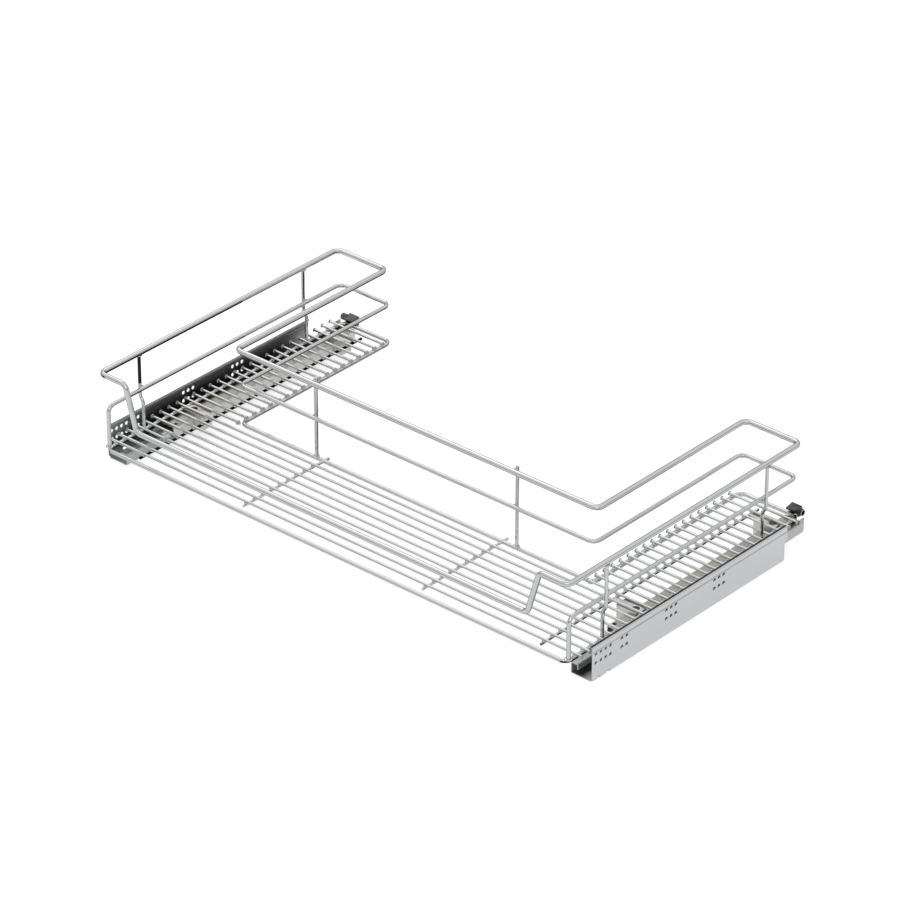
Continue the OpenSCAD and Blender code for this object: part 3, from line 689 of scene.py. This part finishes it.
def mirrored_shade_sheet():
    """A dark sheet under the notch and the left half, which only the metal reflects, so that the metal
    mirrors a painted shade there.
    """
    bpy.ops.object.select_all(action="DESELECT")
    bpy.ops.mesh.primitive_plane_add(size=1, location=(-0.135, 0.345, -0.0003))
    shade_sheet = bpy.context.active_object
    shade_sheet.name = "mirrored_shade_sheet"
    shade_sheet.scale = (0.31, 0.81, 1)
    bpy.ops.object.transform_apply(location=True, rotation=True, scale=True)
    bpy.ops.object.mode_set(mode="EDIT")
    bpy.ops.mesh.subdivide(number_cuts=3)
    bpy.ops.object.mode_set(mode="OBJECT")
    material, tree, shader = new_material("dark cloth")
    sheet_grain = object_noise(tree, 300, 4.0)
    tree.links.new(tint(tree, sheet_grain.outputs["Fac"], (0.012, 0.012, 0.013), (0.03, 0.03, 0.031)),
                   shader.inputs["Base Color"])
    shader.inputs["Roughness"].default_value = 0.95
    shade_sheet.data.materials.append(material)
    shade_sheet.visible_camera = False
    shade_sheet.visible_diffuse = False
    shade_sheet.visible_shadow = False


def sky_white(tree, path):
    """White for the camera; for metal, nearly so overhead and greyer towards the horizon."""
    direction = tree.nodes.new("ShaderNodeTexCoord")
    parts = tree.nodes.new("ShaderNodeSeparateXYZ")
    tree.links.new(direction.outputs["Generated"], parts.inputs["Vector"])
    walls = ramp(tree, parts.outputs["Z"], 0.35, 0.9, 0.1, 0.5)
    either = tree.nodes.new("ShaderNodeMath")
    either.operation = "MAXIMUM"
    tree.links.new(walls, either.inputs[0])
    tree.links.new(path.outputs["Is Camera Ray"], either.inputs[1])
    return either.outputs["Value"]


def white_floor():
    """A floor that the camera sees as white and that keeps the object's shadow."""
    material, tree, shader = new_material("studio floor")
    shader.inputs["Base Color"].default_value = (0.78, 0.78, 0.78, 1)
    shader.inputs["Roughness"].default_value = 0.9
    output = [n for n in tree.nodes if n.type == "OUTPUT_MATERIAL"][0]
    path = tree.nodes.new("ShaderNodeLightPath")
    glow = tree.nodes.new("ShaderNodeEmission")
    glow.inputs["Color"].default_value = (1, 1, 1, 1)
    glow.inputs["Strength"].default_value = 0.66
    both = tree.nodes.new("ShaderNodeAddShader")
    mix = tree.nodes.new("ShaderNodeMixShader")
    tree.links.new(shader.outputs["BSDF"], both.inputs[0])
    tree.links.new(glow.outputs["Emission"], both.inputs[1])
    tree.links.new(seen_directly(tree, path, 0.62), mix.inputs["Fac"])
    tree.links.new(shader.outputs["BSDF"], mix.inputs[1])
    tree.links.new(both.outputs["Shader"], mix.inputs[2])
    tree.links.new(mix.outputs["Shader"], output.inputs["Surface"])
    return material


def studio_world(scene):
    """A soft grey room, which the camera sees as white."""
    world = bpy.data.worlds.new("studio")
    scene.world = world
    world.use_nodes = True
    tree = world.node_tree
    tree.nodes.clear()
    output = tree.nodes.new("ShaderNodeOutputWorld")
    room = tree.nodes.new("ShaderNodeBackground")
    room.inputs["Color"].default_value = (0.86, 0.87, 0.88, 1)
    room.inputs["Strength"].default_value = 0.62
    white = tree.nodes.new("ShaderNodeBackground")
    white.inputs["Strength"].default_value = 1.0
    path = tree.nodes.new("ShaderNodeLightPath")
    tree.links.new(sky_white(tree, path), white.inputs["Color"])
    mix = tree.nodes.new("ShaderNodeMixShader")
    tree.links.new(seen_directly(tree, path), mix.inputs["Fac"])
    tree.links.new(room.outputs["Background"], mix.inputs[1])
    tree.links.new(white.outputs["Background"], mix.inputs[2])
    tree.links.new(mix.outputs["Shader"], output.inputs["Surface"])


def area_lamp(name, place, target, size, power):
    """A rectangular lamp that points at a target."""
    data = bpy.data.lights.new(name, "AREA")
    data.shape = "RECTANGLE"
    data.size, data.size_y = size
    data.energy = power
    lamp = bpy.data.objects.new(name, data)
    lamp.location = place
    lamp.rotation_euler = (Vector(target) - Vector(place)).to_track_quat("-Z", "Y").to_euler()
    bpy.context.scene.collection.objects.link(lamp)


def aimed_camera(scene):
    """The camera that sees the drawer as the photo does."""
    data = bpy.data.cameras.new("camera")
    data.sensor_width = 36
    data.lens = LENS
    data.clip_end = 60
    camera = bpy.data.objects.new("camera", data)
    scene.collection.objects.link(camera)
    azimuth, elevation, roll = math.radians(AZIMUTH), math.radians(ELEVATION), math.radians(ROLL)
    ahead = Vector((-math.sin(azimuth) * math.cos(elevation),
                    math.cos(azimuth) * math.cos(elevation), -math.sin(elevation)))
    camera.location = from_front(*AIM) - ahead * DISTANCE
    turned = ahead.to_track_quat("-Z", "Y").to_matrix() @ Matrix.Rotation(roll, 3, "Z")
    camera.rotation_euler = turned.to_euler()
    scene.camera = camera


class BASKET_OT_stage(bpy.types.Operator):
    """Lay the pale floor and set the lamps, the world and the camera"""

    bl_idname = "basket.stage"
    bl_label = "Stage"

    def execute(self, context):
        scene = context.scene
        bpy.ops.object.select_all(action="DESELECT")
        bpy.ops.mesh.primitive_grid_add(x_subdivisions=12, y_subdivisions=12, size=14,
                                        location=(0, 0, -0.0006))
        floor = context.active_object
        floor.name = "studio_floor"
        floor.data.materials.append(white_floor())
        # A dark sheet of painted shade, which only the metal mirrors
        mirrored_shade_sheet()
        studio_world(scene)
        target = (0, 0, 0.05)
        area_lamp("key", (-1.6, 0.9, 2.2), target, (1.8, 1.8), 9)
        area_lamp("fill", (1.9, -1.9, 1.5), target, (1.6, 1.2), 5)
        scene.view_settings.view_transform = "Standard"
        aimed_camera(scene)
        return {"FINISHED"}


class BASKET_PT_panel(bpy.types.Panel):
    """Lists the drawer's finishes, sizes and steps"""

    bl_idname = "BASKET_PT_panel"
    bl_label = "Basket drawer"
    bl_space_type = "VIEW_3D"
    bl_region_type = "UI"
    bl_category = "Basket drawer"

    def draw(self, context):
        for group in (context.scene.basket_finishes, context.scene.basket_sizes):
            for name in group.__annotations__:
                self.layout.prop(group, name)
        for operator in OPERATORS:
            self.layout.operator(operator.bl_idname)


OPERATORS = (BASKET_OT_finishes, BASKET_OT_brackets, BASKET_OT_clips, BASKET_OT_welds,
             BASKET_OT_floor, BASKET_OT_tips, BASKET_OT_stage)
CLASSES = (DrawerFinishes, DrawerSizes) + OPERATORS + (BASKET_PT_panel,)


def register():
    for cls in CLASSES:
        bpy.utils.register_class(cls)
    bpy.types.Scene.basket_finishes = bpy.props.PointerProperty(type=DrawerFinishes)
    bpy.types.Scene.basket_sizes = bpy.props.PointerProperty(type=DrawerSizes)


def unregister():
    del bpy.types.Scene.basket_sizes
    del bpy.types.Scene.basket_finishes
    for cls in reversed(CLASSES):
        bpy.utils.unregister_class(cls)


def main():
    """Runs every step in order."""
    register()
    bpy.ops.basket.finishes()
    bpy.ops.basket.brackets()
    bpy.ops.basket.clips()
    bpy.ops.basket.welds()
    bpy.ops.basket.floor()
    bpy.ops.basket.tips()
    bpy.ops.basket.stage()


if __name__ == "__main__":
    main()
